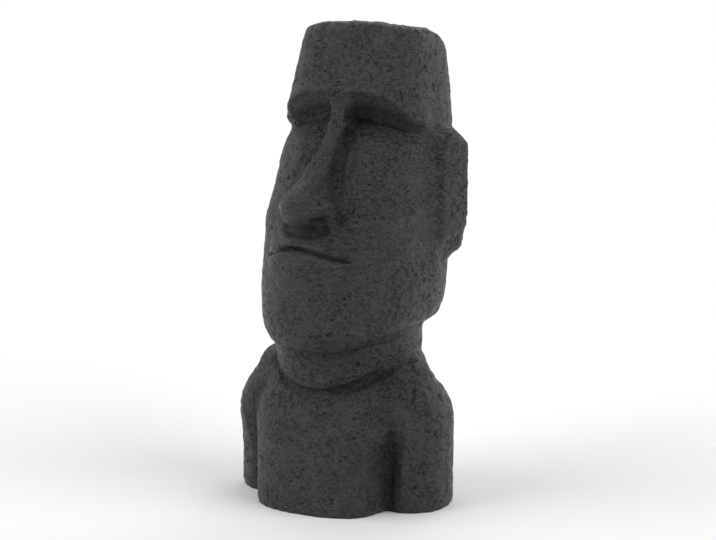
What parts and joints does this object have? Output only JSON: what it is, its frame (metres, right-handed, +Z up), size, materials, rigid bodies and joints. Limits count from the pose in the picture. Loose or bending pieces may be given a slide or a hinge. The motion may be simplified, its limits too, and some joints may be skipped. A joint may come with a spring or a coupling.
{
  "type": "moai statue",
  "caption": "Long-faced stone head in the moai style on a neck and a short armed torso, standing on its own flat underside.",
  "frame": {"origin": "middle of the flat underside", "axes": "+Z up; the face looks along -Y; the statue's own left is +X"},
  "size_m": [0.27, 0.26, 0.56],
  "materials": {
    "cast_stone": "matt anthracite grey paint on rough cast stone, with chisel marks and small pits"
  },
  "bodies": {
    "root": {"moai_statue": "cast_stone"}
  },
  "joints": []
}
